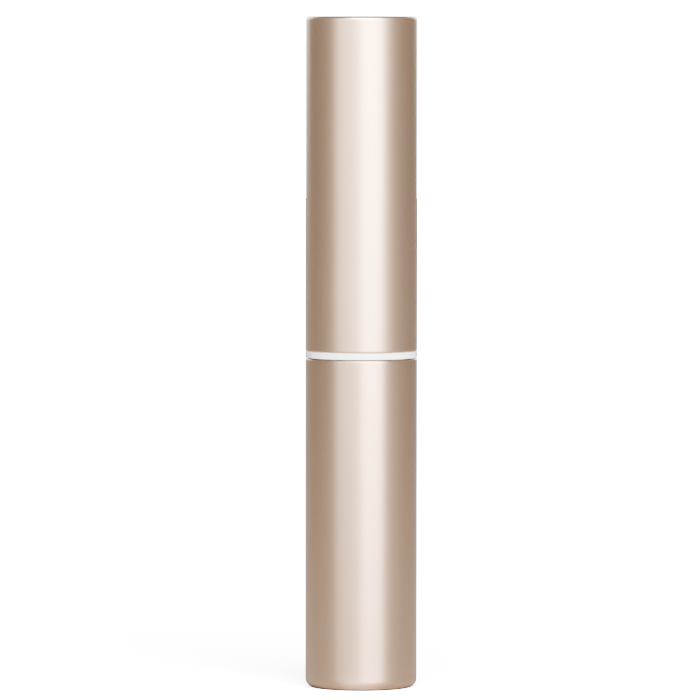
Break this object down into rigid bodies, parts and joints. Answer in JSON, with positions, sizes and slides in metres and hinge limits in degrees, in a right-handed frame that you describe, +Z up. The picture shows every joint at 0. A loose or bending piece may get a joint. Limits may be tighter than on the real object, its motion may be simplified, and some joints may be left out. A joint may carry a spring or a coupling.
{
  "type": "heated eyelash curler",
  "caption": "Pocket heated eyelash curler: a round pen with pull-off cap and barrel, white collar ring, slide switch in the neck and a wire-wound curved comb.",
  "frame": {"origin": "centre of the barrel's flat base", "axes": "+Z up along the pen to the cap's top, -Y to the front where the switch is, +X to the right seen from the front"},
  "size_m": [0.018, 0.018, 0.1087],
  "materials": {
    "champagne_aluminium": "satin champagne anodised",
    "champagne_lacquer": "champagne lacquered moulding",
    "white_plastic": "smooth white moulding",
    "liner_plastic": "plain white moulding",
    "heatproof_plastic": "black heat-proof moulding",
    "soft_tip": "soft black cover",
    "heater_alloy": "drawn resistance wire",
    "nickel_steel": "nickel-plated spring steel",
    "screw_steel": "zinc-plated steel",
    "board_laminate": "green masked laminate",
    "chip_resin": "moulded black resin",
    "led_resin": "cast resin",
    "pipe_acrylic": "polished clear acrylic",
    "grip_silicone": "grey silicone",
    "cell_jacket": "plain printed jacket"
  },
  "bodies": {
    "barrel": {"barrel_shell": "champagne_aluminium", "barrel_liner": "liner_plastic"},
    "chassis": {"collar_ring": "white_plastic", "front_frame": "white_plastic", "rear_frame": "white_plastic", "grip_ring": "grip_silicone", "slide_switch": "screw_steel", "circuit_board": "board_laminate", "control_chip": "chip_resin", "indicator_led": "led_resin", "light_pipe": "pipe_acrylic", "board_screw_lower": "screw_steel", "board_screw_upper": "screw_steel", "head_base": "heatproof_plastic", "comb_core": "heatproof_plastic", "tip_guard": "soft_tip", "heater_wire": "heater_alloy", "battery_cell": "cell_jacket", "positive_contact": "nickel_steel", "negative_spring": "nickel_steel", "negative_strip": "nickel_steel"},
    "cap": {"cap_shell": "champagne_aluminium", "cap_liner": "liner_plastic"},
    "switch": {"switch_slider": "champagne_lacquer", "slider_backplate": "heatproof_plastic", "switch_lever": "heatproof_plastic"}
  },
  "joints": [
    {"name": "barrel_pull", "type": "slide", "parent": "barrel", "child": "chassis", "axis": [0, 0, 1], "range_m": [0, 0.054]},
    {"name": "cap_pull", "type": "slide", "parent": "chassis", "child": "cap", "axis": [0, 0, 1], "range_m": [0, 0.05]},
    {"name": "switch_slide", "type": "slide", "parent": "chassis", "child": "switch", "axis": [0, 0, 1], "range_m": [0, 0.003]}
  ]
}
